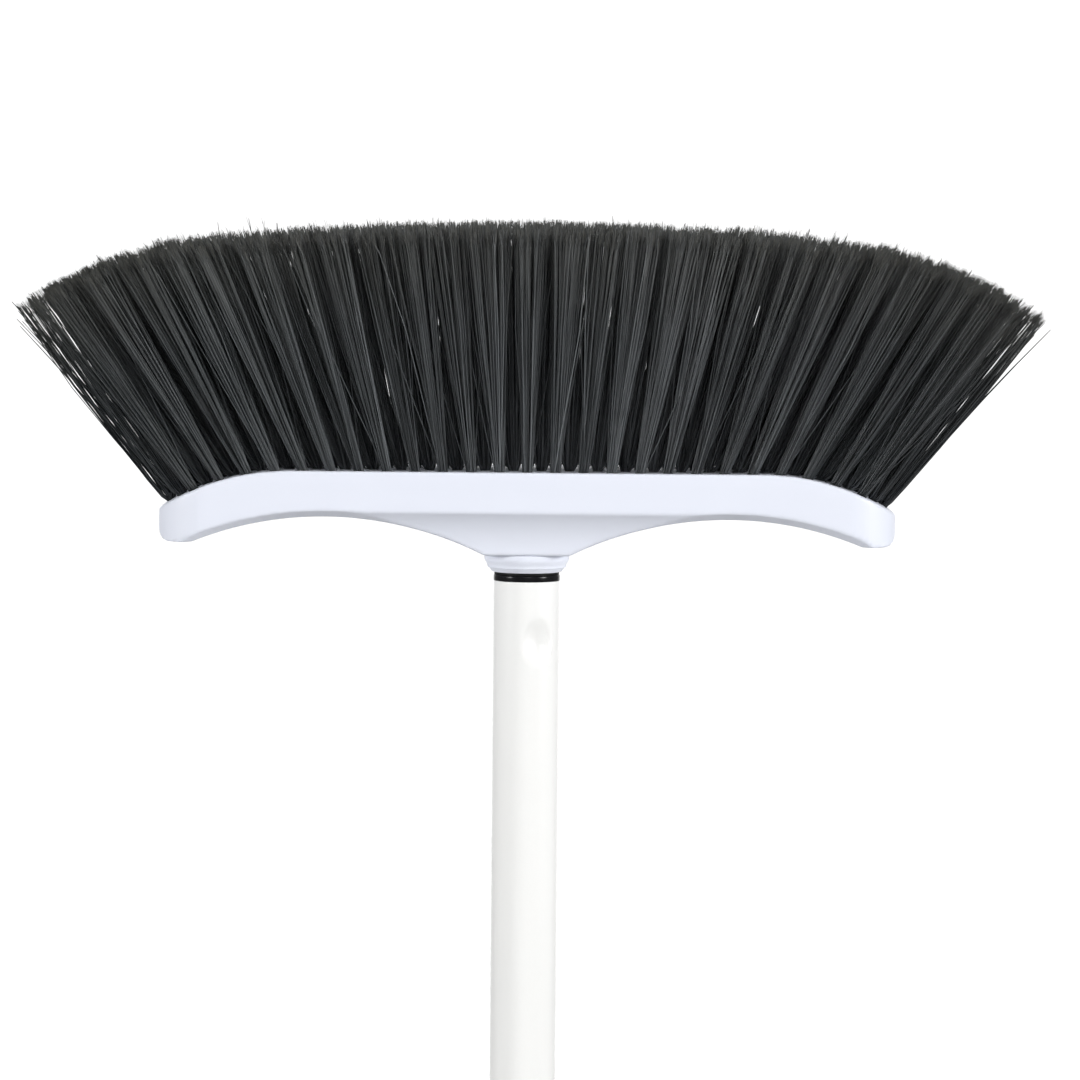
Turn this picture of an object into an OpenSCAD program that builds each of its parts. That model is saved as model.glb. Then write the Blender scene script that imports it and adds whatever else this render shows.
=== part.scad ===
// Upright household broom with a screw-on head, in millimetres.
// The foot of the handle is at the origin, the handle runs up +Z and the bristles point up.
// X runs along the head and Y across it.

/* [Handle tube] */
// Outside diameter of the tube
tube_d = 24; // [21:0.5:29]
// Wall of the tube
tube_wall = 0.4; // [0.3:0.05:0.8]
// Length of the tube
tube_l = 1140; // [300:10:1400]
// Radius of the ball that presses each crimp dimple
dimple_r = 12; // [9:0.5:14]
// Depth of each crimp dimple
dimple_depth = 2; // [1:0.1:2.2]
// Distance from the upper end of the tube to the middle of a dimple
dimple_drop = 21.5; // [16:0.5:30]
// Direction of the first dimple, from +X towards +Y
dimple_angle = -69; // [-180:1:180]

/* [Threaded plug] */
// Height of the shoulder that covers the end of the tube
flange_h = 2.2; // [1.6:0.1:4]
// Length of the plug inside the tube
plug_spigot_l = 46; // [40:1:70]
// Diameter of the moulded core hole of the plug
plug_core_d = 8; // [5:0.5:9]
// Solid length left above the core hole
plug_tip_l = 3; // [2:0.5:6]
// Outside diameter of the male thread
thread_d = 18.8; // [17:0.1:20]
// Radial depth of the male thread
thread_depth = 2.3; // [1.8:0.1:2.5]
// Advance in one turn
thread_pitch = 5.08; // [4.5:0.01:6.2]
// Axial width of the crest of the male thread
thread_crest = 1.6; // [1.3:0.1:2]
// Turns of the male thread
thread_turns = 3; // [2:0.25:3]
// Plain neck between the washer and the first turn
neck_l = 1.5; // [1:0.1:3]

/* [Washer] */
// Thickness of the washer between the plug and the collar
washer_t = 1; // [0.8:0.1:2]
// How far the washer stands back from the side of the flange
washer_inset = 0.3; // [0:0.1:1]
// Least width of the washer's ring, which the shoulder of the plug also covers
washer_w = 1.6; // [1:0.1:1.9]

/* [Collar and socket] */
// Diameter of the widest step of the collar
collar_d = 30.8; // [29.5:0.1:37]
// Height of the widest step
collar_top_h = 2.7; // [2:0.1:4]
// Diameter of the middle step
collar_mid_d = 28.4; // [27:0.1:29.4]
// Height of the middle step
collar_mid_h = 2.2; // [1.5:0.1:3]
// Diameter at the mouth
collar_mouth_d = 25.2; // [23:0.1:26.5]
// Height of the sloping step at the mouth
collar_mouth_h = 1.6; // [1:0.1:3]
// Wall of the socket around its thread
socket_wall = 2.6; // [2:0.1:2.9]
// Thickness of the closed end of the socket
socket_end = 1.2; // [1:0.1:2]
// Space above the end of the seated plug
socket_room = 0.6; // [0.5:0.1:2]
// Number of keys that stop the socket turning in the block
key_n = 6; // [3:1:8]
// Width of a key
key_w = 2.4; // [1.5:0.1:3]
// Height of a key above the socket wall
key_h = 0.8; // [0.5:0.1:1]

/* [Block] */
// Length of the block
block_l = 264; // [220:1:320]
// Depth of the block, front to back
block_w = 52; // [50:1:63]
// Height from the bottom of the boss to the bristle face
block_h = 30.4; // [29:0.1:36]
// Height from the feet to the bristle face
foot_h = 26; // [25:0.1:27]
// Radius of the corners in plan
corner_r = 18; // [14:0.5:22]
// Length over which the bristle face curves down at each end
fall_l = 47.5; // [38:0.5:57]
// How far the bristle face falls at each end
fall_h = 14.5; // [10:0.5:16]
// Length of a foot beyond the arch, measured at the front face
foot_l = 5.9; // [4:0.1:9]
// Radius of the lower end edge of a foot
foot_r = 4.3; // [2:0.1:6]
// How far that edge's curve would run past the end, which leaves a slight corner on it
foot_over = 0.3; // [0.1:0.1:1]
// Rise of each arch at the front and back faces
arch_rise = 12; // [8:0.5:13]
// How much lower the arch is between its flared edges
flare_h = 2.6; // [1:0.1:4]
// Depth of the flared edge of the arch
flare_w = 6; // [4:0.5:8]
// Half length of the boss at the height of the feet
boss_half_l = 18.4; // [17:0.1:22]
// Height of the crease above the boss, below the bristle face
crease_drop = 14.4; // [13.5:0.1:16]
// Radius of the hollow below the crease
hollow_r = 26; // [20:1:60]
// How far the boss stands out around the widest step of the collar
boss_rim = 0.3; // [0:0.1:2]

/* [Bristles] */
// Number of rows of tufts
row_n = 5; // [5]
// Distance between rows
row_pitch = 10; // [8.5:0.1:10.5]
// Distance between tufts along a row
tuft_pitch = 10; // [8.4:0.1:12]
// Diameter of a tuft hole
hole_d = 4; // [3.3:0.1:4.8]
// Depth of a tuft hole
hole_depth = 11; // [9:0.5:11.5]
// Least distance from the middle of a hole to the edge of the block in plan
hole_margin = 3.7; // [3.5:0.1:6]
// Length of a tuft above the bristle face
tuft_l = 89; // [60:1:120]
// Lean of the last tuft of the middle row along the head, in degrees
lean_end = 36.5; // [20:0.5:44]
// Share of that lean that grows evenly from the middle
lean_even = 0.9; // [0.5:0.01:1]
// Outward lean across the head for each millimetre from the middle, in degrees
lean_across = 0.5; // [0.1:0.05:0.7]
// Straight neck of a tuft above its hole
tuft_neck = 0.9; // [0.7:0.1:2]
// Gap between the tips of neighbouring tufts
tip_gap = 0.9; // [0.5:0.1:3]

/* [Anchor wires] */
// Length of an anchor wire
anchor_l = 5; // [4.5:0.1:6]
// Thickness of an anchor wire
anchor_t = 0.5; // [0.3:0.1:0.8]
// Height of an anchor wire
anchor_h = 1.8; // [1:0.1:2.5]
// Height of an anchor wire above the bottom of its hole
anchor_lift = 1; // [0.5:0.1:2]
// Turn of an anchor wire about its hole
anchor_turn = 35; // [0:1:90]

/* [End cap] */
// Height of the cap below the tube
cap_h = 36; // [30:0.5:50]
// How far the cap stands back from the side of the tube
cap_inset = 0.2; // [0:0.1:1]
// Length of the cap inside the tube
cap_spigot_l = 22; // [15:1:40]
// Wall of the cap inside the tube
cap_wall = 2.4; // [1.5:0.1:4]
// Thickness of the hanging eye
eye_t = 11; // [8:0.5:14]
// Height of the hanging eye
eye_h = 24; // [22:0.5:28]
// Diameter of the hanging hole
hang_hole_d = 9; // [6:0.5:12]

/* [Clearances] */
// Gap around the plug and the cap inside the tube
spigot_gap = 0.05; // [0.02:0.01:0.15]
// Gap between the plug and the inside of a dimple
dimple_gap = 0.1; // [0.05:0.01:0.3]
// Radial gap between the crests and roots of the threads
thread_gap = 0.4; // [0.3:0.05:0.6]
// Gap between the flanks of the threads, along the axis
flank_gap = 0.4; // [0.3:0.05:0.6]
// Gap between the washer and the thread that passes through it
washer_gap = 0.35; // [0.1:0.05:0.6]
// Gap around the socket and its keys in the block
socket_gap = 0.05; // [0.02:0.01:0.15]
// Gap around a tuft in its hole and around its anchor wire
tuft_gap = 0.05; // [0.02:0.01:0.1]

/* [Hidden] */

$fn = 96;
cut = 1;               // how far a cut runs past the surface it opens
thread_steps = 24;     // straight steps in one turn of a thread
fade_turns = 0.25;     // turns over which a thread rises and fades
flank_slope = tan(14.5);
thread_sink = 0.45;    // how far a thread ridge is rooted in its core

// Heights along the handle
tube_z = cap_h;
tube_top = tube_z + tube_l;
washer_z = tube_top + flange_h;
mouth_z = washer_z + washer_t;
collar_h = collar_top_h + collar_mid_h + collar_mouth_h;
boss_z = mouth_z + collar_h;
face_z = boss_z + block_h;         // the bristle face
foot_z = face_z - foot_h;
dimple_z = tube_top - dimple_drop;

// Radii around the handle axis
tube_r = tube_d / 2;
bore_r = tube_r - tube_wall;
spigot_r = bore_r - spigot_gap;
crest_r = thread_d / 2;
core_r = crest_r - thread_depth;
washer_bore_r = crest_r + washer_gap;
shoulder_r = max(tube_r, washer_bore_r + washer_w + washer_inset);   // wider than a thin tube
groove_r = crest_r + thread_gap;       // root of the female thread
ridge_r = core_r + thread_gap;         // crest of the female thread
socket_r = groove_r + socket_wall;

// Lengths along the thread
thread_l = thread_turns * thread_pitch;
thread_z = mouth_z + neck_l;
lead_l = 1.2;                          // chamfered tip of the plug
plug_top = thread_z + thread_l + thread_crest + lead_l;
socket_top = plug_top + socket_room;
pocket_z = socket_top + socket_end;

// Curves of the block
half_l = block_l / 2;
half_w = block_w / 2;
flat_half = half_l - fall_l;
fall_r = (fall_l * fall_l + fall_h * fall_h) / (2 * fall_h);
arch_a = boss_half_l;
arch_b = half_l - foot_l;
arch_x = (arch_a + arch_b) / 2;
arch_half = (arch_b - arch_a) / 2;
arch_r = (arch_half * arch_half + arch_rise * arch_rise) / (2 * arch_rise);
arch_z = foot_z + arch_rise - arch_r;
boss_half_w = collar_d / 2 + boss_rim;
crease_z = face_z - crease_drop;

// Tufts
s_end = face_run(half_l - hole_margin);
row_middle = (row_n + 1) / 2;
lean_rate = lean_end * lean_even / s_end;
tip_space = tuft_pitch * (1 + tuft_l * lean_rate * PI / 180);
tip_r = (tip_space - tip_gap) / 2;
tuft_r = hole_d / 2 - tuft_gap;

// Distance along the bristle face from the middle to a place x, and the place back from it
function face_run(x) = x <= flat_half ? x : flat_half + fall_r * asin((x - flat_half) / fall_r) * PI / 180;
function fall_angle(s) = max(0, (abs(s) - flat_half) / fall_r * 180 / PI);
function face_x(s) = sign(s) * (min(abs(s), flat_half) + fall_r * sin(fall_angle(s)));
function face_drop(s) = fall_r * (1 - cos(fall_angle(s)));

// Lean of a tuft along and across the head
function lean_along(s) = sign(s) * lean_end * (lean_even * abs(s) + (1 - lean_even) * s * s / s_end) / s_end;
function row_y(row) = (row - row_middle) * row_pitch;

// How far along the head a hole may lie in a row, and the places of its tufts
function row_reach(y) =
    let (over = max(0, abs(y) - (half_w - corner_r)), r = corner_r - hole_margin)
    face_run(half_l - corner_r + sqrt(r * r - over * over));
function row_places(row) =
    let (shift = row % 2 == 1 ? 0 : 0.5,
         n = floor(row_reach(row_y(row)) / tuft_pitch - shift + 0.001))
    [for (i = [-n - 2 * shift : n]) (i + shift) * tuft_pitch];

// Ring of four points of a thread ridge: root and crest, lower and upper
function thread_ring(step, total, root, crest, half_root, half_crest) =
    let (a = 360 * step / thread_steps,
         fade = min(1, step / (fade_turns * thread_steps), (total - step) / (fade_turns * thread_steps)),
         r = root + (crest - root) * max(0.12, fade),
         h = half_root + (half_crest - half_root) * max(0.12, fade),
         z = thread_pitch * step / thread_steps)
    [for (p = [[root, -half_root], [r, -h], [r, h], [root, half_root]])
        [p[0] * cos(a), p[0] * sin(a), z + p[1]]];

// Helical ridge that runs up from z = 0, rooted at radius root and ending at radius crest
module thread_ridge(turns, root, crest, half_root, half_crest) {
    total = turns * thread_steps;
    outward = crest > root;
    points = [for (i = [0:total]) each thread_ring(i, total, root, crest, half_root, half_crest)];
    sides = [for (i = [0:total - 1], k = [0:3])
        let (a = 4 * i + k, b = 4 * i + (k + 1) % 4)
        each [[a, b, b + 4], [a, b + 4, a + 4]]];
    ends = [[2, 1, 0], [3, 2, 0], [4 * total, 4 * total + 1, 4 * total + 2],
            [4 * total, 4 * total + 2, 4 * total + 3]];
    faces = concat(sides, ends);
    polyhedron(points, outward ? faces : [for (f = faces) [f[2], f[1], f[0]]]);
}

// Places a tuft's own shape: the hole's mouth at the origin and the tuft up its own Z
module at_tuft(s, row) {
    y = row_y(row);
    translate([face_x(s), y, face_z - face_drop(s)])
        rotate([-lean_across * y, lean_along(s), 0])
            children();
}

module at_tufts(row) {
    for (s = row_places(row)) at_tuft(s, row) children();
}

// Anchor wire in its hole, grown by grow on every side
module anchor_wire(grow) {
    rotate([0, 0, anchor_turn])
        translate([-anchor_l / 2 - grow, -anchor_t / 2 - grow, anchor_lift - hole_depth - grow])
            cube([anchor_l + 2 * grow, anchor_t + 2 * grow, anchor_h + 2 * grow]);
}

module bristle_tuft() {
    difference() {
        union() {
            translate([0, 0, tuft_gap - hole_depth])
                cylinder(r = tuft_r, h = hole_depth - tuft_gap + tuft_neck);
            translate([0, 0, tuft_neck])
                cylinder(r1 = tuft_r, r2 = tip_r, h = tuft_l - tuft_neck);
        }
        anchor_wire(tuft_gap);
    }
}

module tuft_row(row) {
    color([0.17, 0.18, 0.18]) at_tufts(row) bristle_tuft();
}

module anchor_row(row) {
    color([0.72, 0.73, 0.75]) at_tufts(row) anchor_wire(0);
}

// Quarter of a disc in the quadrant of positive x and y
module quarter(r) {
    intersection() {
        circle(r);
        square(r);
    }
}

// Right end of the front elevation, with the fall of the bristle face and the round edge of the foot
module end_elevation() {
    end_x = half_l + foot_over;
    intersection() {
        translate([flat_half, face_z - fall_r]) circle(fall_r, $fn = 240);
        union() {
            translate([flat_half, foot_z]) square([end_x - foot_r - flat_half, foot_h]);
            translate([end_x - foot_r, foot_z + foot_r]) square([foot_r, foot_h - foot_r]);
            translate([end_x - foot_r, foot_z + foot_r]) mirror([0, 1]) quarter(foot_r);
        }
    }
}

// Front elevation of the block before its arches are cut, drawn with y as height
module block_elevation() {
    translate([-flat_half, foot_z]) square([2 * flat_half, foot_h]);
    translate([-arch_x, boss_z]) square([2 * arch_x, foot_z - boss_z]);
    end_elevation();
    mirror([1, 0]) end_elevation();
}

module block_plan() {
    inner_l = half_l - corner_r;
    inner_w = half_w - corner_r;
    square([2 * inner_l, block_w], center = true);
    for (side = [0, 1]) mirror([side, 0]) {
        translate([inner_l, -inner_w]) square([corner_r, 2 * inner_w]);
        for (back = [0, 1]) mirror([0, back]) translate([inner_l, inner_w]) quarter(corner_r);
    }
}

// Arch under one half of the block, flared at the front and the back
module arch_cut() {
    r = arch_r - flare_h;
    run = flare_w + cut;
    rise = flare_h * run / flare_w;
    rotate([90, 0, 0]) {
        cylinder(r = r, h = block_w, center = true, $fn = 360);
        for (side = [0, 1]) mirror([0, 0, side])
            translate([0, 0, half_w - flare_w]) cylinder(r1 = r, r2 = r + rise, h = run, $fn = 360);
    }
}

// Hollow below the crease at the front, on an arc from the crease to the boss
module hollow_cut() {
    run = half_w - boss_half_w;
    drop = crease_z - boss_z;
    chord = sqrt(run * run + drop * drop);
    out = sqrt(hollow_r * hollow_r - chord * chord / 4);
    centre_y = (half_w + boss_half_w) / 2 + out * drop / chord;
    centre_z = (crease_z + boss_z) / 2 - out * run / chord;
    rotate([90, 0, 90])
        translate([0, 0, -arch_x])
            linear_extrude(2 * arch_x)
                intersection() {
                    translate([centre_y, centre_z]) circle(hollow_r, $fn = 240);
                    translate([boss_half_w - cut, boss_z - cut])
                        square([half_w - boss_half_w + 2 * cut, drop + cut]);
                }
}

module socket_keys(grow) {
    key_top = pocket_z - boss_z - socket_end;
    for (i = [0:key_n - 1])
        rotate([0, 0, 360 * i / key_n])
            translate([socket_r - 1, -key_w / 2 - grow, boss_z - grow])
                cube([1 + key_h + grow, key_w + 2 * grow, key_top + 2 * grow]);
}

module brush_block() {
    color([0.89, 0.90, 0.96])
    difference() {
        intersection() {
            rotate([90, 0, 0]) linear_extrude(block_w + 2 * cut, center = true) block_elevation();
            translate([0, 0, boss_z - cut]) linear_extrude(block_h + 2 * cut) block_plan();
        }
        for (side = [-1, 1]) {
            translate([side * arch_x, 0, arch_z]) arch_cut();
            rotate([0, 0, side > 0 ? 0 : 180]) hollow_cut();
        }
        translate([0, 0, boss_z - cut]) cylinder(r = socket_r + socket_gap, h = pocket_z + socket_gap - boss_z + cut);
        socket_keys(socket_gap);
        for (row = [1:row_n])
            at_tufts(row) translate([0, 0, -hole_depth]) cylinder(d = hole_d, h = hole_depth + 2, $fn = 32);
    }
}

// Stepped collar and the closed socket that stands in the block
module threaded_socket() {
    mid_z = mouth_z + collar_mouth_h;
    top_z = mid_z + collar_mid_h;
    step = (collar_d - collar_mid_d) / 2;
    difference() {
        color([0.87, 0.88, 0.95])
        union() {
            difference() {
                rotate_extrude()
                    polygon([[0, mouth_z], [collar_mouth_d / 2, mouth_z], [collar_mid_d / 2, mid_z],
                             [collar_mid_d / 2, top_z], [collar_d / 2, top_z + step / 2],
                             [collar_d / 2, boss_z], [socket_r, boss_z], [socket_r, pocket_z - 0.8],
                             [socket_r - 0.8, pocket_z], [0, pocket_z]]);
                translate([0, 0, mouth_z - cut]) cylinder(r = groove_r, h = socket_top - mouth_z + cut);
            }
            socket_keys(0);
            translate([0, 0, thread_z + thread_pitch / 2])
                thread_ridge(thread_turns, groove_r + thread_sink, ridge_r,
                    thread_pitch / 2 - thread_crest / 2 - flank_gap + (thread_gap + thread_sink) * flank_slope,
                    thread_pitch / 2 - thread_crest / 2 - flank_gap - (thread_depth - thread_gap) * flank_slope);
        }
    }
}

module seating_washer() {
    color([0.06, 0.06, 0.06])
    translate([0, 0, washer_z])
        difference() {
            cylinder(r = shoulder_r - washer_inset, h = washer_t);
            translate([0, 0, -cut]) cylinder(r = washer_bore_r, h = washer_t + 2 * cut);
        }
}

// Balls at the places of the crimp dimples, grown by grow
module dimple_balls(grow) {
    for (turn = [0, 180])
        rotate([0, 0, dimple_angle + turn])
            translate([tube_r + dimple_r - dimple_depth, 0, dimple_z]) sphere(dimple_r + grow);
}

// Plug with its shoulder, its male thread and its spigot in the tube
module threaded_plug() {
    edge = 0.5;
    color([0.07, 0.07, 0.07])
    difference() {
        union() {
            rotate_extrude()
                polygon([[0, tube_top - plug_spigot_l], [spigot_r - 1, tube_top - plug_spigot_l],
                         [spigot_r, tube_top - plug_spigot_l + 2], [spigot_r, tube_top],
                         [shoulder_r, tube_top], [shoulder_r, washer_z - edge],
                         [shoulder_r - edge, washer_z],
                         [core_r, washer_z], [core_r, plug_top - lead_l], [core_r - lead_l, plug_top],
                         [0, plug_top]]);
            translate([0, 0, thread_z])
                thread_ridge(thread_turns, core_r - thread_sink, crest_r,
                    thread_crest / 2 + (thread_depth + thread_sink) * flank_slope, thread_crest / 2);
        }
        translate([0, 0, tube_top - plug_spigot_l - cut])
            cylinder(d = plug_core_d, h = plug_top - plug_tip_l - tube_top + plug_spigot_l + cut);
        dimple_balls(tube_wall + dimple_gap);
    }
}

module handle_tube() {
    color([0.96, 0.96, 0.95])
    difference() {
        translate([0, 0, tube_z]) cylinder(r = tube_r, h = tube_l);
        difference() {
            translate([0, 0, tube_z - cut]) cylinder(r = bore_r, h = tube_l + 2 * cut);
            dimple_balls(tube_wall);
        }
        dimple_balls(0);
    }
}

// Cap with a rounded, flattened eye below the tube and a hollow spigot in it
module end_cap() {
    cap_r = tube_r - cap_inset;
    flat_w = tube_r - eye_t / 2;
    color([0.07, 0.07, 0.07])
    difference() {
        union() {
            translate([0, 0, cap_r]) sphere(cap_r);
            translate([0, 0, cap_r]) cylinder(r = cap_r, h = tube_z - cap_r);
            translate([0, 0, tube_z]) cylinder(r = spigot_r, h = cap_spigot_l - 2);
            translate([0, 0, tube_z + cap_spigot_l - 2]) cylinder(r1 = spigot_r, r2 = spigot_r - 1, h = 2);
        }
        for (side = [-1, 1]) {
            translate([-tube_r - cut, side * (eye_t / 2 + flat_w / 2 + cut / 2) - (flat_w + cut) / 2, -cut])
                cube([2 * (tube_r + cut), flat_w + cut, eye_h - flat_w + cut]);
            translate([0, side * tube_r, eye_h - flat_w])
                rotate([0, 90, 0]) cylinder(r = flat_w, h = tube_d + 2 * cut, center = true);
        }
        translate([0, 0, cap_r]) rotate([90, 0, 0])
            cylinder(d = hang_hole_d, h = tube_d, center = true);
        translate([0, 0, tube_z]) cylinder(r = spigot_r - cap_wall, h = cap_spigot_l + cut);
    }
}

brush_block();
threaded_socket();
seating_washer();
threaded_plug();
handle_tube();
end_cap();
for (i = [1:row_n]) {
    tuft_row(i);
    anchor_row(i);
}
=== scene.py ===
import math
import random

import bmesh
import bpy
import numpy as np
from mathutils import Matrix, Vector


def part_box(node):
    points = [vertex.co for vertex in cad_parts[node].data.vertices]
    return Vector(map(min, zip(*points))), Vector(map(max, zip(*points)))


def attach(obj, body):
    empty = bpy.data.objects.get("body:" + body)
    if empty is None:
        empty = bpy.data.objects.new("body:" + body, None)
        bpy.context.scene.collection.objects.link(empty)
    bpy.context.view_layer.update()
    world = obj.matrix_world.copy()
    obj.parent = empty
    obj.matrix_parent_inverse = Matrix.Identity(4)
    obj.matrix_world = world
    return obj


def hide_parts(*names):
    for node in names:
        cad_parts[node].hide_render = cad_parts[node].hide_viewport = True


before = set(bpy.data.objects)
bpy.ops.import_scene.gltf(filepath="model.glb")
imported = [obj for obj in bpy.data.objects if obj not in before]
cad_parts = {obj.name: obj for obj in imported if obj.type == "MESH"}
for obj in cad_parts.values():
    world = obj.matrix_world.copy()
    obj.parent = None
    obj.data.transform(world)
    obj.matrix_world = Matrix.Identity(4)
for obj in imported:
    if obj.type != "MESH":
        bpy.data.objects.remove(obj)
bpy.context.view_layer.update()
mm = 0.001

# places that everything below is measured from
blockLow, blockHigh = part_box("brush_block")
tubeLow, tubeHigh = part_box("handle_tube")
socketLow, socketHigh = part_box("threaded_socket")
plugLow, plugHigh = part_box("threaded_plug")
washerLow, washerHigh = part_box("seating_washer")
faceZ = blockHigh.z
bossZ = blockLow.z
halfL = blockHigh.x
halfW = blockHigh.y
tubeR = tubeHigh.x


# small tools

def arcPoints(centreX, centreY, radius, startDeg, endDeg, steps):
    return [(centreX + radius * math.cos(math.radians(startDeg + (endDeg - startDeg) * i / steps)),
             centreY + radius * math.sin(math.radians(startDeg + (endDeg - startDeg) * i / steps)))
            for i in range(steps + 1)]


def addObject(name, data):
    made = bpy.data.objects.new(name, data)
    bpy.context.scene.collection.objects.link(made)
    return made


def smoothFaces(piece):
    for polygon in piece.data.polygons:
        polygon.use_smooth = True


def dress(piece, material):  # one material all over
    piece.data.materials.clear()
    piece.data.materials.append(material)


def makePiece(name, bm, material=None):
    mesh = bpy.data.meshes.new(name)
    bm.to_mesh(mesh)
    bm.free()
    piece = addObject(name, mesh)
    if material:
        mesh.materials.append(material)
    smoothFaces(piece)
    return piece


def drawFace(bm, points):
    return bm.faces.new([bm.verts.new(p) for p in points])


def pullFace(bm, face, shift):  # a flat face becomes a prism
    pulled = bmesh.ops.extrude_face_region(bm, geom=[face])
    moved = [v for v in pulled["geom"] if isinstance(v, bmesh.types.BMVert)]
    bmesh.ops.translate(bm, verts=moved, vec=shift)
    bmesh.ops.recalc_face_normals(bm, faces=bm.faces[:])


def moveAll(bm, shift):
    bmesh.ops.translate(bm, verts=bm.verts[:], vec=shift)


def layAlongY(bm):  # from standing on its end to lying across the head
    bmesh.ops.rotate(bm, verts=bm.verts[:], cent=(0, 0, 0), matrix=Matrix.Rotation(math.pi / 2, 3, "X"))


def addRod(bm, radius, length, segments):
    made = bmesh.ops.create_cone(bm, cap_ends=True, segments=segments, radius1=radius,
                                 radius2=radius, depth=length)
    return made["verts"]


def shapedMesh(piece):  # the mesh with its modifiers or its sweep worked out
    bpy.context.view_layer.update()
    graph = bpy.context.evaluated_depsgraph_get()
    return bpy.data.meshes.new_from_object(piece.evaluated_get(graph))


def applyModifiers(piece):
    shaped = shapedMesh(piece)
    old = piece.data
    piece.modifiers.clear()
    piece.data = shaped
    bpy.data.meshes.remove(old)


def cutWith(piece, cutter, operation="DIFFERENCE"):
    boolean = piece.modifiers.new("cut", "BOOLEAN")
    boolean.object = cutter
    boolean.operation = operation
    boolean.solver = "EXACT"
    applyModifiers(piece)
    bpy.data.objects.remove(cutter)


def softenForm(piece, voxel, rounds):  # one moulded skin with rounded edges
    remesh = piece.modifiers.new("skin", "REMESH")
    remesh.mode = "VOXEL"
    remesh.voxel_size = voxel
    remesh.use_smooth_shade = True
    applyModifiers(piece)
    bm = bmesh.new()
    bm.from_mesh(piece.data)
    for _ in range(rounds):
        bmesh.ops.smooth_vert(bm, verts=bm.verts[:], factor=0.5,
                              use_axis_x=True, use_axis_y=True, use_axis_z=True)
    bm.to_mesh(piece.data)
    bm.free()
    smoothFaces(piece)


def turnProfile(bm, points, steps):  # points are radius and height
    verts = [bm.verts.new((r, 0, z)) for r, z in points]
    edges = [bm.edges.new(pair) for pair in zip(verts, verts[1:])]
    bmesh.ops.spin(bm, geom=verts + edges, axis=(0, 0, 1), cent=(0, 0, 0), angle=math.tau,
                   steps=steps, use_merge=True, use_normal_flip=False)
    bmesh.ops.remove_doubles(bm, verts=bm.verts[:], dist=1e-7)
    bmesh.ops.recalc_face_normals(bm, faces=bm.faces[:])


def roundedProfile(corners, steps=4):  # each corner is radius, height and fillet
    points = []
    for i, (x, z, fillet) in enumerate(corners):
        here = Vector((x, z))
        if not fillet or i in (0, len(corners) - 1):
            points.append((x, z))
            continue
        back = (Vector(corners[i - 1][:2]) - here).normalized()
        ahead = (Vector(corners[i + 1][:2]) - here).normalized()
        for k in range(steps + 1):  # a quadratic curve between the two tangent points
            t = k / steps
            p = here + back * fillet * (1 - t) ** 2 + ahead * fillet * t ** 2
            points.append((p.x, p.y))
    return points


# materials

def newMaterial(name):
    material = bpy.data.materials.new(name)
    material.use_nodes = True
    nodes = material.node_tree.nodes
    return material, nodes, material.node_tree.links, nodes["Principled BSDF"]


def grainGroup():  # fine noise for texture and slow noise for shade
    group = bpy.data.node_groups.new("mouldGrain", "ShaderNodeTree")
    for socket, default in (("Grain Size", 0.0006), ("Patch Size", 0.05)):
        made = group.interface.new_socket(socket, in_out="INPUT", socket_type="NodeSocketFloat")
        made.default_value = default
    for socket in ("Grain", "Patch"):
        group.interface.new_socket(socket, in_out="OUTPUT", socket_type="NodeSocketFloat")
    nodes, links = group.nodes, group.links
    given = nodes.new("NodeGroupInput")
    out = nodes.new("NodeGroupOutput")
    place = nodes.new("ShaderNodeTexCoord")
    for size, result, detail in (("Grain Size", "Grain", 3.0), ("Patch Size", "Patch", 2.0)):
        scale = nodes.new("ShaderNodeMath")
        scale.operation = "DIVIDE"
        scale.inputs[0].default_value = 1.0
        links.new(given.outputs[size], scale.inputs[1])
        noise = nodes.new("ShaderNodeTexNoise")
        noise.inputs["Detail"].default_value = detail
        links.new(place.outputs["Object"], noise.inputs["Vector"])
        links.new(scale.outputs[0], noise.inputs["Scale"])
        links.new(noise.outputs["Fac"], out.inputs[result])
    return group


mouldGrain = grainGroup()


def grainedMaterial(name, look):
    material, nodes, links, shader = newMaterial(name)
    grain = nodes.new("ShaderNodeGroup")
    grain.node_tree = mouldGrain
    grain.inputs["Grain Size"].default_value = look["grainSize"]
    grain.inputs["Patch Size"].default_value = look["patchSize"]
    shade = nodes.new("ShaderNodeMix")
    shade.data_type = "RGBA"
    shade.inputs["A"].default_value = (*look["dark"], 1)
    shade.inputs["B"].default_value = (*look["light"], 1)
    links.new(grain.outputs["Patch"], shade.inputs["Factor"])
    links.new(shade.outputs["Result"], shader.inputs["Base Color"])
    rough = nodes.new("ShaderNodeMapRange")
    rough.inputs["To Min"].default_value = look["roughness"] - look["roughSpread"]
    rough.inputs["To Max"].default_value = look["roughness"] + look["roughSpread"]
    links.new(grain.outputs["Grain"], rough.inputs["Value"])
    links.new(rough.outputs["Result"], shader.inputs["Roughness"])
    bump = nodes.new("ShaderNodeBump")
    bump.inputs["Strength"].default_value = look["bump"]
    bump.inputs["Distance"].default_value = look["grainSize"] * 0.3
    links.new(grain.outputs["Grain"], bump.inputs["Height"])
    links.new(bump.outputs["Normal"], shader.inputs["Normal"])
    shader.inputs["Specular IOR Level"].default_value = look.get("specular", 0.5)
    shader.inputs["Metallic"].default_value = look.get("metallic", 0.0)
    shader.inputs["Coat Weight"].default_value = look.get("coat", 0.0)
    shader.inputs["Coat Roughness"].default_value = look.get("coatRoughness", 0.1)
    return material


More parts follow.
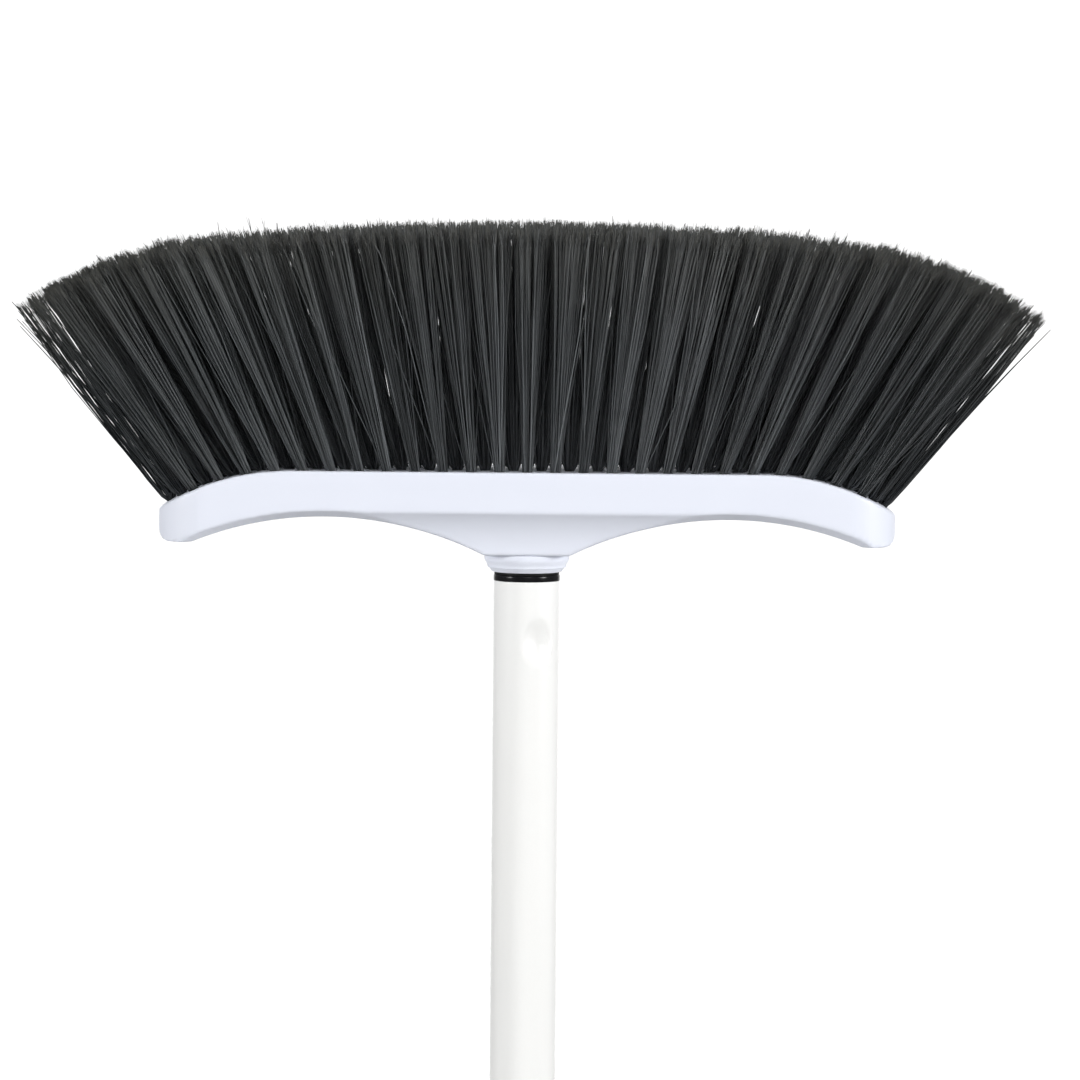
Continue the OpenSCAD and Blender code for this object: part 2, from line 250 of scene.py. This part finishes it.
lavenderPlastic = grainedMaterial("lavenderPlastic", {
    "dark": (0.765, 0.793, 0.885), "light": (0.797, 0.826, 0.912), "grainSize": 0.45 * mm,
    "patchSize": 40 * mm, "roughness": 0.42, "roughSpread": 0.05, "bump": 0.12, "specular": 0.45})
glossyBlack = grainedMaterial("glossyBlack", {
    "dark": (0.004, 0.004, 0.005), "light": (0.008, 0.008, 0.009), "grainSize": 0.5 * mm,
    "patchSize": 10 * mm, "roughness": 0.2, "roughSpread": 0.04, "bump": 0.05, "specular": 0.22})
washerRubber = grainedMaterial("washerRubber", {
    "dark": (0.005, 0.005, 0.005), "light": (0.010, 0.010, 0.010), "grainSize": 0.2 * mm,
    "patchSize": 5 * mm, "roughness": 0.5, "roughSpread": 0.1, "bump": 0.3, "specular": 0.15})
whiteCoat = grainedMaterial("whiteCoat", {
    "dark": (0.88, 0.88, 0.865), "light": (0.92, 0.92, 0.905), "grainSize": 1.2 * mm,
    "patchSize": 90 * mm, "roughness": 0.33, "roughSpread": 0.04, "bump": 0.08, "coat": 0.4,
    "coatRoughness": 0.18})
galvanisedWire = grainedMaterial("galvanisedWire", {
    "dark": (0.42, 0.43, 0.44), "light": (0.62, 0.63, 0.64), "grainSize": 0.3 * mm,
    "patchSize": 1.5 * mm, "roughness": 0.4, "roughSpread": 0.12, "bump": 0.2, "metallic": 1.0})


def bristleMaterial():
    material, nodes, links, shader = newMaterial("charcoalFilament")
    body = nodes.new("ShaderNodeMix")  # each filament has its own tone, with painted shade towards the ends of the head
    body.data_type = "RGBA"
    body.inputs["A"].default_value = (0.016, 0.019, 0.021, 1)
    body.inputs["B"].default_value = (0.148, 0.159, 0.168, 1)
    shade = nodes.new("ShaderNodeAttribute")
    shade.attribute_name = "shade"
    links.new(shade.outputs["Fac"], body.inputs["Factor"])
    tip = nodes.new("ShaderNodeMix")  # split tips are paler and a little olive
    tip.data_type = "RGBA"
    tip.inputs["B"].default_value = (0.094, 0.093, 0.080, 1)
    along = nodes.new("ShaderNodeAttribute")
    along.attribute_name = "tipShade"
    links.new(along.outputs["Fac"], tip.inputs["Factor"])
    links.new(body.outputs["Result"], tip.inputs["A"])
    links.new(tip.outputs["Result"], shader.inputs["Base Color"])
    rough = nodes.new("ShaderNodeMapRange")
    rough.inputs["To Min"].default_value = 0.42
    rough.inputs["To Max"].default_value = 0.8
    links.new(along.outputs["Fac"], rough.inputs["Value"])
    links.new(rough.outputs["Result"], shader.inputs["Roughness"])
    shader.inputs["Specular IOR Level"].default_value = 0.5
    return material


charcoalFilament = bristleMaterial()
print("materials made")

# stage, camera and lights

view = {"distance": 2.0, "elevation": 4.0, "roll": 0.5, "acrossFrame": 389 * mm,
        "aimX": 4.7 * mm, "aimBelowFace": 25.6 * mm}


def makeCamera():
    data = bpy.data.cameras.new("camera")
    data.lens = data.sensor_width * view["distance"] / view["acrossFrame"]
    data.clip_end = 20
    camera = addObject("camera", data)
    aim = Vector((view["aimX"], 0, faceZ - view["aimBelowFace"]))
    up = math.radians(view["elevation"])
    camera.location = aim + Vector((0, -math.cos(up), math.sin(up))) * view["distance"]
    look = (aim - camera.location).to_track_quat("-Z", "Y").to_matrix().to_4x4()
    camera.matrix_world = (Matrix.Translation(camera.location) @ look
                           @ Matrix.Rotation(math.radians(view["roll"]), 4, "Z"))
    bpy.context.scene.camera = camera


def makeStage():  # a wide round floor that curves up into a white surround
    stage = {"floorR": 8.4, "bendR": 1.5, "height": 7.0, "glowFrom": 2.8, "glowTo": 5.0}
    paper, nodes, links, shader = newMaterial("whitePaper")
    shader.inputs["Base Color"].default_value = (0.86, 0.86, 0.86, 1)
    shader.inputs["Roughness"].default_value = 0.9
    shader.inputs["Emission Color"].default_value = (1, 1, 1, 1)
    place = nodes.new("ShaderNodeTexCoord")
    away = nodes.new("ShaderNodeVectorMath")
    away.operation = "LENGTH"
    links.new(place.outputs["Object"], away.inputs[0])
    glow = nodes.new("ShaderNodeMapRange")
    glow.interpolation_type = "SMOOTHSTEP"
    glow.inputs["From Min"].default_value = stage["glowFrom"]
    glow.inputs["From Max"].default_value = stage["glowTo"]
    links.new(away.outputs["Value"], glow.inputs["Value"])
    seen = nodes.new("ShaderNodeLightPath")
    strength = nodes.new("ShaderNodeMath")
    strength.operation = "MULTIPLY"
    links.new(glow.outputs["Result"], strength.inputs[0])
    links.new(seen.outputs["Is Camera Ray"], strength.inputs[1])
    links.new(strength.outputs[0], shader.inputs["Emission Strength"])
    bend = arcPoints(stage["floorR"], stage["bendR"], stage["bendR"], -90, 0, 20)
    bm = bmesh.new()
    turnProfile(bm, [(0, 0)] + bend + [(stage["floorR"] + stage["bendR"], stage["height"])], 128)
    makePiece("backdrop", bm, paper)


def softLight(name, place, aim, size, power, spread=180):
    data = bpy.data.lights.new(name, "AREA")
    data.shape = "DISK"
    data.size = size
    data.energy = power
    data.spread = math.radians(spread)
    light = addObject(name, data)
    light.location = place
    light.rotation_euler = (Vector(aim) - Vector(place)).to_track_quat("-Z", "Y").to_euler()
    light.visible_camera = False


def makeLights():
    world = bpy.data.worlds.new("studio")
    world.use_nodes = True
    nodes, links = world.node_tree.nodes, world.node_tree.links
    background = nodes["Background"]
    background.inputs["Color"].default_value = (1, 1, 1, 1)
    seen = nodes.new("ShaderNodeLightPath")
    level = nodes.new("ShaderNodeMapRange")  # plain white to look at, dimmer as a light
    level.inputs["To Min"].default_value = 0.25
    level.inputs["To Max"].default_value = 1.0
    links.new(seen.outputs["Is Camera Ray"], level.inputs["Value"])
    links.new(level.outputs["Result"], background.inputs["Strength"])
    bpy.context.scene.world = world
    head = (0, 0, faceZ - 0.06)
    softLight("frontSoft", (0.3, -2.5, faceZ + 0.7), head, 0.9, 0.8, 50)
    softLight("keyRight", (2.3, -1.25, faceZ + 0.55), head, 0.9, 4.7, 50)
    softLight("fillLeft", (-2.3, -1.25, faceZ + 0.55), head, 0.9, 3.6, 50)
    softLight("topSoft", (0, 0.2, faceZ + 1.8), head, 1.0, 1.4, 60)
    softLight("lowSoft", (0.1, -0.9, faceZ - 0.95), head, 1.2, 3.4)
    softLight("backSoft", (0, 2.4, faceZ + 0.1), (0, 0, faceZ), 3.4, 30)


bpy.context.scene.view_settings.view_transform = "Standard"
makeCamera()
makeStage()
makeLights()
print("stage ready")

# brush block

block = {"cornerR": 18 * mm, "fallLength": 47.5 * mm, "fallHeight": 14.5 * mm, "footHeight": 26 * mm,
         "footLength": 5.9 * mm, "footR": 4.3 * mm, "archRise": 12 * mm, "flareHeight": 2.6 * mm,
         "flareWidth": 6 * mm, "bossHalfLength": 18.4 * mm, "creaseDrop": 14.4 * mm,
         "hollowR": 26 * mm, "socketRoomR": 12.5 * mm, "socketRoomDepth": 8 * mm,
         "voxel": 0.78 * mm, "smoothing": 2}
collarR = 15.4 * mm
flatHalf = halfL - block["fallLength"]
fallR = (block["fallLength"] ** 2 + block["fallHeight"] ** 2) / (2 * block["fallHeight"])
footZ = faceZ - block["footHeight"]


def blockElevation():  # closed outline of x and z, with the arches not yet cut
    footR = block["footR"]
    fallEnd = 90 - math.degrees(math.asin(block["fallLength"] / fallR))
    fall = arcPoints(flatHalf, faceZ - fallR, fallR, 90, fallEnd, 40)
    foot = arcPoints(halfL - footR, footZ + footR, footR, 0, -90, 12)
    right = fall + foot + [(flatHalf, footZ), (flatHalf, bossZ)]
    return right + [(-x, z) for x, z in reversed(right)]


def blockPlan():
    r = block["cornerR"]
    outline = []
    for x, y, start in ((1, 1, 0), (-1, 1, 90), (-1, -1, 180), (1, -1, 270)):
        outline += arcPoints(x * (halfL - r), y * (halfW - r), r, start, start + 90, 28)
    return outline


def archCutter(side):
    low, high = block["bossHalfLength"], halfL - block["footLength"]
    rise, flare = block["archRise"], block["flareWidth"]
    half = (high - low) / 2
    outerR = (half ** 2 + rise ** 2) / (2 * rise)
    innerR = outerR - block["flareHeight"]
    over = 1 * mm
    slope = block["flareHeight"] / flare
    bm = bmesh.new()
    profile = [(0, -halfW - over), (outerR + over * slope, -halfW - over), (innerR, -halfW + flare),
               (innerR, halfW - flare), (outerR + over * slope, halfW + over), (0, halfW + over)]
    turnProfile(bm, profile, 512)
    layAlongY(bm)
    moveAll(bm, (side * (low + high) / 2, 0, footZ + rise - outerR))
    return makePiece("archCutter", bm)


def hollowCutter(side):  # the hollow between the crease and the boss, front or back
    inner, outer = collarR + 0.3 * mm, halfW
    creaseZ = faceZ - block["creaseDrop"]
    run, drop = outer - inner, creaseZ - bossZ
    chord = math.hypot(run, drop)
    out = math.sqrt(block["hollowR"] ** 2 - chord ** 2 / 4)
    centreY = (outer + inner) / 2 + out * drop / chord
    centreZ = (creaseZ + bossZ) / 2 - out * run / chord
    top = math.degrees(math.atan2(creaseZ - centreZ, outer - centreY))
    bottom = math.degrees(math.atan2(bossZ - centreZ, inner - centreY)) % 360
    curve = arcPoints(centreY, centreZ, block["hollowR"], top, bottom, 32)
    over = 2 * mm
    outline = [(outer + over, creaseZ)] + curve + [(inner, bossZ - over), (outer + over, bossZ - over)]
    reach = (block["bossHalfLength"] + halfL - block["footLength"]) / 2
    bm = bmesh.new()
    face = drawFace(bm, [(-reach, side * y, z) for y, z in outline])
    pullFace(bm, face, (2 * reach, 0, 0))
    return makePiece("hollowCutter", bm)


# tufts lean outwards along and across the head
tuft = {"rows": 5, "rowPitch": 10 * mm, "pitch": 10 * mm, "mouthR": 2.15 * mm, "mouthDepth": 4 * mm,
        "margin": 3.7 * mm, "length": 89 * mm, "leanEnd": 36.5, "leanEven": 0.9, "leanAcross": 500.0}


def faceRun(x):
    return x if x <= flatHalf else flatHalf + fallR * math.asin((x - flatHalf) / fallR)


runEnd = faceRun(halfL - tuft["margin"])


def tuftPlaces(row):
    y = (row - (tuft["rows"] + 1) / 2) * tuft["rowPitch"]
    over = max(0, abs(y) - (halfW - block["cornerR"]))
    r = block["cornerR"] - tuft["margin"]
    reach = faceRun(halfL - block["cornerR"] + math.sqrt(r * r - over * over))
    shift = 0 if row % 2 else 0.5
    n = math.floor(reach / tuft["pitch"] - shift + 0.001)
    return [((i + shift) * tuft["pitch"], y) for i in range(int(-n - 2 * shift), n + 1)]


def tuftFrame(run, y):  # hole mouth at the origin, tuft up its own Z
    turn = max(0, (abs(run) - flatHalf) / fallR)
    x = math.copysign(min(abs(run), flatHalf) + fallR * math.sin(turn), run)
    z = faceZ - fallR * (1 - math.cos(turn))
    share = abs(run) / runEnd
    even = tuft["leanEven"]
    along = math.copysign(tuft["leanEnd"] * (even * share + (1 - even) * share ** 2), run)
    return (Matrix.Translation((x, y, z)) @ Matrix.Rotation(math.radians(along), 4, "Y")
            @ Matrix.Rotation(math.radians(-tuft["leanAcross"] * y), 4, "X"))


def holeCutter():  # only the mouths of the holes show, so they aren't deep
    bm = bmesh.new()
    for row in range(1, tuft["rows"] + 1):
        for run, y in tuftPlaces(row):
            rod = addRod(bm, tuft["mouthR"], 2 * tuft["mouthDepth"], 20)
            bmesh.ops.transform(bm, matrix=tuftFrame(run, y), verts=rod)
    return makePiece("holeCutter", bm)


def makeBlock():
    bm = bmesh.new()
    over = 1 * mm
    face = drawFace(bm, [(x, -halfW - over, z) for x, z in blockElevation()])
    pullFace(bm, face, (0, 2 * (halfW + over), 0))
    piece = makePiece("brushBlock", bm)
    bm = bmesh.new()
    face = drawFace(bm, [(x, y, bossZ - over) for x, y in blockPlan()])
    pullFace(bm, face, (0, 0, faceZ - bossZ + 2 * over))
    cutWith(piece, makePiece("planForm", bm), "INTERSECT")
    for side in (-1, 1):
        cutWith(piece, archCutter(side))
        cutWith(piece, hollowCutter(side))
    bm = bmesh.new()
    addRod(bm, block["socketRoomR"], 2 * block["socketRoomDepth"], 96)
    moveAll(bm, (0, 0, bossZ))
    cutWith(piece, makePiece("socketRoom", bm))
    cutWith(piece, holeCutter())
    softenForm(piece, block["voxel"], block["smoothing"])
    dress(piece, lavenderPlastic)
    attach(piece, "head")
    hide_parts("brush_block")
    print("brush block", len(piece.data.polygons), "faces")


makeBlock()

# collar, washer, plug, tube and cap

thread = {"crestR": 9.4 * mm, "coreR": 7.1 * mm, "pitch": 5.08 * mm, "turns": 3, "crestWidth": 1.6 * mm,
          "slope": math.tan(math.radians(14.5)), "neck": 1.5 * mm, "gap": 0.4 * mm, "steps": 60}
threadZ = socketLow.z + thread["neck"]


def addThread(bm, startZ, rootR, crestR, rootHalf, crestHalf):  # one helical ridge, faded at both ends
    profile = [(rootR, -rootHalf), (crestR, -crestHalf), (crestR, crestHalf), (rootR, rootHalf)]
    fadeTurns, fadeLead, leastHeight = 0.4, 0.2, 0.1
    older = set(bm.verts)
    verts = [bm.verts.new((r, 0, startZ + z)) for r, z in profile]
    first = bm.faces.new(verts)
    total = thread["turns"] * thread["steps"]
    bmesh.ops.spin(bm, geom=[first] + first.edges[:] + verts, axis=(0, 0, 1), cent=(0, 0, 0),
                   dvec=(0, 0, thread["pitch"] / thread["steps"]), angle=math.tau * thread["turns"],
                   steps=total, use_merge=False)
    for v in set(bm.verts) - older:
        turned = (v.co.z - startZ) / thread["pitch"]
        fade = min(1.0, max(0.0, turned + fadeLead) / fadeTurns,
                   max(0.0, thread["turns"] + fadeLead - turned) / fadeTurns)
        radius = math.hypot(v.co.x, v.co.y)
        wanted = rootR + (radius - rootR) * max(leastHeight, fade)
        v.co.x *= wanted / radius
        v.co.y *= wanted / radius
    bmesh.ops.recalc_face_normals(bm, faces=bm.faces[:])


def makeCollar():
    collar = {"bandHeight": 2.1 * mm, "midR": 14.2 * mm, "ledge": 0.35 * mm, "mouthR": 12.6 * mm,
              "mouthHeight": 1.6 * mm, "boreR": 9.8 * mm, "wall": 2.6 * mm, "endWall": 1.2 * mm}
    low, endZ = socketLow.z, socketHigh.z
    boreEndZ = endZ - collar["endWall"]
    ledgeZ = low + collar["mouthHeight"]
    bandZ = bossZ - collar["bandHeight"]
    outR = collar["boreR"] + collar["wall"]
    lip = collar["midR"] - collar["ledge"]
    profile = roundedProfile([
        (0, boreEndZ, 0), (collar["boreR"], boreEndZ, 0.3 * mm),
        (collar["boreR"], low, 0.35 * mm), (collar["mouthR"], low, 0.3 * mm),
        (lip - 0.25 * mm, ledgeZ - 0.3 * mm, 0.4 * mm), (lip, ledgeZ, 0.08 * mm),
        (collar["midR"], ledgeZ, 0.15 * mm), (collar["midR"] + 0.1 * mm, ledgeZ + 1 * mm, 0.6 * mm),
        (collarR, bandZ, 0.8 * mm), (collarR, bossZ, 0.25 * mm), (outR, bossZ, 0),
        (outR, endZ, 0.5 * mm), (0, endZ, 0)])
    bm = bmesh.new()
    turnProfile(bm, profile, 120)
    half = thread["pitch"] / 2 - thread["crestWidth"] / 2 - thread["gap"]
    sink = 0.4 * mm  # the ridge starts inside the wall of the bore
    addThread(bm, threadZ + thread["pitch"] / 2, collar["boreR"] + sink, thread["coreR"] + thread["gap"],
              half + 0.8 * mm * thread["slope"], half - 1.9 * mm * thread["slope"])
    piece = makePiece("steppedCollar", bm, lavenderPlastic)
    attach(piece, "head")
    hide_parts("threaded_socket")


def makeWasher():
    low, high, outR = washerLow.z, washerHigh.z, washerHigh.x
    boreR = thread["crestR"] + 0.35 * mm
    edge = 0.25 * mm
    bm = bmesh.new()
    corners = [(boreR, (low + high) / 2, 0), (boreR, low, edge), (outR, low, edge), (outR, high, edge),
               (boreR, high, edge), (boreR, (low + high) / 2, 0)]
    turnProfile(bm, roundedProfile(corners), 96)
    piece = makePiece("seatingWasher", bm, washerRubber)
    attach(piece, "washer")
    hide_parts("seating_washer")


spigotR = tubeR - 0.45 * mm  # of the plug and the cap, inside the wall of the tube
dimple = {"ballR": 12 * mm, "depth": 2 * mm, "drop": 21.5 * mm, "angle": -69.0, "soft": 1.1 * mm}


def pressDimples(bm, grow):  # each dimple is pressed by a ball and has a soft rim
    soft = dimple["soft"]
    for turn in (0, 180):
        angle = math.radians(dimple["angle"] + turn)
        reach = tubeR + dimple["ballR"] - dimple["depth"]
        outward = Vector((math.cos(angle), math.sin(angle), 0))
        ball = outward * reach + Vector((0, 0, tubeHigh.z - dimple["drop"]))
        for v in bm.verts:
            inside = dimple["ballR"] + grow + soft * 0.5 - (v.co - ball).length
            if inside > -soft and v.co.x * outward.x + v.co.y * outward.y > 0.3 * tubeR:
                push = inside if inside > soft else (inside + soft) ** 2 / (4 * soft)
                v.co += Vector((-v.co.x, -v.co.y, 0)).normalized() * push


def makePlug():
    top, flangeZ = plugHigh.z, washerLow.z
    fine = [(spigotR, plugLow.z + (2 + 0.9 * i) * mm, 0) for i in range(49)]
    corners = [(0, plugLow.z, 0), (spigotR - 1 * mm, plugLow.z, 0.5 * mm), *fine,
               (spigotR, tubeHigh.z, 0), (tubeR, tubeHigh.z, 0.3 * mm), (tubeR, flangeZ, 0.55 * mm),
               (thread["coreR"], flangeZ, 0.3 * mm), (thread["coreR"], top - 1.2 * mm, 0.4 * mm),
               (thread["coreR"] - 1.2 * mm, top, 0.3 * mm), (0, top, 0)]
    bm = bmesh.new()
    turnProfile(bm, roundedProfile(corners), 120)
    pressDimples(bm, 0.6 * mm)  # clear of the wall that is pressed into it
    depth = thread["crestR"] - thread["coreR"]
    sink = 0.4 * mm  # the ridge starts inside the core
    addThread(bm, threadZ, thread["coreR"] - sink, thread["crestR"],
              thread["crestWidth"] / 2 + (depth + sink) * thread["slope"], thread["crestWidth"] / 2)
    piece = makePiece("threadedPlug", bm, glossyBlack)
    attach(piece, "handle")
    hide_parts("threaded_plug")


def makeTube():  # its rings are close together only where the dimples are
    tube = {"wall": 0.4 * mm, "fineLength": 44 * mm, "fineStep": 0.75 * mm, "plainRings": 24}
    bm = bmesh.new()
    low, high = tubeLow.z, tubeHigh.z
    fineZ = high - tube["fineLength"]
    plain = [low + (fineZ - low) * i / tube["plainRings"] for i in range(tube["plainRings"])]
    fine = list(np.arange(fineZ, high - 0.3 * mm, tube["fineStep"]))
    edge = [(tubeR - 0.02 * mm, high - 0.1 * mm), (tubeR - 0.12 * mm, high)]
    turnProfile(bm, [(tubeR, z) for z in plain + fine] + edge, 128)
    pressDimples(bm, 0)
    piece = makePiece("handleTube", bm, whiteCoat)
    solid = piece.modifiers.new("wall", "SOLIDIFY")
    solid.thickness = tube["wall"]
    solid.offset = -1
    applyModifiers(piece)
    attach(piece, "handle")
    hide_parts("handle_tube")


def makeCap():
    cap = {"inset": 0.2 * mm, "eyeThickness": 11 * mm, "eyeHeight": 24 * mm, "holeR": 4.5 * mm,
           "spigot": 22 * mm, "spigotWall": 2.4 * mm, "voxel": 0.34 * mm, "smoothing": 4}
    capR = tubeR - cap["inset"]
    seatZ = tubeLow.z
    innerR, spigotZ = spigotR - cap["spigotWall"], seatZ + cap["spigot"]
    dome = arcPoints(0, capR, capR, -90, 0, 32)
    profile = dome + [(capR, seatZ - 0.4 * mm), (capR - 0.4 * mm, seatZ), (spigotR, seatZ),
                      (spigotR, spigotZ), (innerR, spigotZ), (innerR, seatZ), (0, seatZ)]
    bm = bmesh.new()
    turnProfile(bm, profile, 128)
    piece = makePiece("hangingCap", bm)
    flat = tubeR - cap["eyeThickness"] / 2
    beyond, below = tubeR + 2 * mm, -1 * mm
    for side in (-1, 1):  # two flats leave the eye between them
        bend = arcPoints(side * tubeR, cap["eyeHeight"] - flat, flat, 180 if side > 0 else 0, 90, 24)
        outline = [(side * cap["eyeThickness"] / 2, below), *bend,
                   (side * beyond, cap["eyeHeight"]), (side * beyond, below)]
        bm = bmesh.new()
        face = drawFace(bm, [(-2 * tubeR, y, z) for y, z in outline])
        pullFace(bm, face, (4 * tubeR, 0, 0))
        cutWith(piece, makePiece("eyeFlat", bm))
    bm = bmesh.new()
    addRod(bm, cap["holeR"], 3 * tubeR, 64)
    layAlongY(bm)
    moveAll(bm, (0, 0, capR))
    cutWith(piece, makePiece("hangHole", bm))
    softenForm(piece, cap["voxel"], cap["smoothing"])
    dress(piece, glossyBlack)
    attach(piece, "handle")
    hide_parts("end_cap")
    print("hanging cap", len(piece.data.polygons), "faces")


makeCollar()
makeWasher()
makePlug()
makeTube()
makeCap()
print("handle parts made")

# bristles

# the last entry is painted shade that darkens the tufts towards the ends of the head
filament = {"perTuft": 82, "radius": 0.21 * mm, "tipR": 7.4 * mm, "rootR": 1.75 * mm, "clumps": 13,
            "clumping": 0.65, "tipScatter": 1.8 * mm, "bow": 1.6 * mm, "leaners": 0.08,
            "lengthSpread": 0.7 * mm, "shorts": 0.05, "shortBy": 5 * mm, "flag": 6.5 * mm, "hairs": 3,
            "hairRadius": 0.28, "hairSpread": 0.75 * mm, "sink": 1.5 * mm, "strays": 16,
            "paintedEndShade": 0.7, "seed": 11}
tuftTurn = {"inner": 0.024, "outer": 0.008}  # how far a tuft strays from its hole's direction
tuftSpread = {"inner": 0.45, "outer": 0.95}  # how early its filaments part, 1 for evenly


def discPoint(rng):
    r, a = math.sqrt(rng.random()), rng.random() * math.tau
    return Vector((r * math.cos(a), r * math.sin(a)))


def strandPoints(root, tip, length, bend, stations, spread=1.0):
    points = []
    for along in stations:
        t = along / length
        side = root.lerp(tip, math.copysign(abs(t) ** spread, t))
        bow = bend * math.sin(math.pi * min(1, t)) * t
        points.append(Vector((side.x + bow.x, side.y + bow.y, along)))
    return points


def filamentSection():  # three-sided section that every strand is swept with
    data = bpy.data.curves.new("filamentSection", "CURVE")
    data.dimensions = "2D"
    spline = data.splines.new("POLY")
    spline.points.add(2)
    for i in range(3):
        a = math.tau * i / 3
        spline.points[i].co = (filament["radius"] * math.cos(a), filament["radius"] * math.sin(a), 0, 1)
    spline.use_cyclic_u = True
    return addObject("filamentSection", data)


def growTuft(rng, strands, run, y, rowKind):
    turn = tuftTurn[rowKind]
    place = tuftFrame(run, y)
    place = place @ Matrix.Rotation(rng.gauss(0, turn), 4, "Y") @ Matrix.Rotation(rng.gauss(0, turn), 4, "X")
    clumps = [(discPoint(rng), rng.gauss(0, 0.10), rng.random()) for _ in range(filament["clumps"])]
    tuftShade = rng.random()
    for _ in range(filament["perTuft"]):
        spot = discPoint(rng)
        clump = min(clumps, key=lambda c: (c[0] - spot).length)
        gathered = spot.lerp(clump[0], filament["clumping"])
        root = spot * filament["rootR"]
        tip = gathered * filament["tipR"] + discPoint(rng) * filament["tipScatter"]
        bend = discPoint(rng) * filament["bow"]
        if rng.random() < filament["leaners"]:  # some lean out of their tuft
            lean = discPoint(rng)
            tip += Vector((lean.x * 14, lean.y * 6)) * mm
            bend *= 3
        length = tuft["length"] + rng.gauss(0, filament["lengthSpread"])
        if rng.random() <= filament["shorts"]:
            length -= rng.random() * filament["shortBy"]
        shade = min(1, max(0, 0.15 * tuftShade + 0.25 * clump[2] + 0.8 * rng.random() ** 1.8 - 0.05))
        body = length - filament["flag"] * (0.6 + 0.5 * rng.random())
        stations = [-filament["sink"], 0.03 * length, 0.12 * length, 0.33 * length, 0.6 * length, body]
        points = strandPoints(root, tip, length, bend, stations, tuftSpread[rowKind])
        strands.append(([place @ p for p in points], [1, 1, 1, 1, 0.95, 0.8], shade,
                        [0, 0, 0, 0, 0.05, 0.35]))
        last = points[-1]
        for _ in range(filament["hairs"]):  # the split tip
            side = discPoint(rng) * filament["hairSpread"]
            end = Vector((tip.x + side.x, tip.y + side.y, length - rng.random() * 2.2 * mm))
            middle = last.lerp(end, 0.5) + Vector((side.x, side.y, 0)) * 0.25
            hair = [last - Vector((0, 0, 1 * mm)), middle, end]
            dust = rng.uniform(0.15, 1)
            strands.append(([place @ p for p in hair], [0.55, 0.42, filament["hairRadius"]], shade,
                            [0.4 * dust, 0.8 * dust, dust]))


def strayStrands(rng, strands, side):  # loose filaments beyond the ends of the head
    for _ in range(filament["strays"]):
        place = tuftFrame(side * runEnd * rng.uniform(0.95, 1), rng.uniform(-12, 12) * mm)
        place = place @ Matrix.Rotation(side * math.radians(3 + 3.5 * rng.random() ** 2), 4, "Y")
        root = discPoint(rng) * filament["rootR"]
        tip = root + discPoint(rng) * 3 * mm
        length = tuft["length"] * rng.uniform(0.9, 1.03)
        stations = [length * t for t in (-0.02, 0.2, 0.4, 0.6, 0.8, 1.0)]
        bend = Vector((-side * rng.uniform(0.3, 1.6), rng.uniform(-1.5, 1.5))) * mm
        points = strandPoints(root, tip, length, bend, stations)
        strands.append(([place @ p for p in points], [1.3, 1.3, 1.25, 1.2, 1.1, 0.7], rng.random() * 0.4,
                        [0, 0, 0, 0.1, 0.3, 0.8]))


def sweepStrands(name, strands, section):
    data = bpy.data.curves.new(name, "CURVE")
    data.dimensions = "3D"
    data.bevel_mode = "OBJECT"
    data.bevel_object = section
    data.use_fill_caps = True
    data.resolution_u = 1
    for points, radii, shade, tips in strands:
        spline = data.splines.new("POLY")
        spline.points.add(len(points) - 1)
        spline.points.foreach_set("co", [c for p in points for c in (p.x, p.y, p.z, 1)])
        spline.points.foreach_set("radius", radii)
    sweep = addObject(name + "Sweep", data)
    mesh = shapedMesh(sweep)
    bpy.data.objects.remove(sweep)
    mesh.name = name
    return addObject(name, mesh)


def toneWithPaintedEndShade(points, shade):  # painted shade: the filaments are darker towards the ends of the head
    outer = min(1, abs(points[0][0]) / halfL)
    return shade * (1 - filament["paintedEndShade"] * outer ** 2)


def colourStrands(piece, strands):  # the sweep puts every end cap first, last strand first
    shades, tips = [], []
    for points, radii, shade, tip in reversed(strands):
        shades += [toneWithPaintedEndShade(points, shade)] * 6
        tips += [tip[-1]] * 3 + [tip[0]] * 3
    for points, radii, shade, tip in strands:
        shades += [toneWithPaintedEndShade(points, shade)] * 3 * len(tip)
        tips += [value for value in tip for _ in range(3)]
    for name, values in (("shade", shades), ("tipShade", tips)):
        layer = piece.data.attributes.new(name, "FLOAT", "POINT")
        layer.data.foreach_set("value", values)


def growRows():
    section = filamentSection()
    for row in range(1, tuft["rows"] + 1):
        for side, half in ((-1, "Left"), (1, "Right")):
            rng = random.Random(filament["seed"] * 100 + row * 10 + side)
            strands = []
            for run, y in tuftPlaces(row):
                if (run < 0) == (side < 0):
                    growTuft(rng, strands, run, y, "inner" if 1 < row < tuft["rows"] else "outer")
            if row == 3:
                strayStrands(rng, strands, side)
            piece = sweepStrands(f"bristleRow{row}{half}", strands, section)
            colourStrands(piece, strands)
            dress(piece, charcoalFilament)
            smoothFaces(piece)
            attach(piece, "head")
            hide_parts(f"tuft_row_{row}")
        print("bristle row", row, len(piece.data.polygons), "faces in a half")
    bpy.data.objects.remove(section)


growRows()

for row in range(1, tuft["rows"] + 1):  # the wire anchors keep their own shape
    dress(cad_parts[f"anchor_row_{row}"], galvanisedWire)
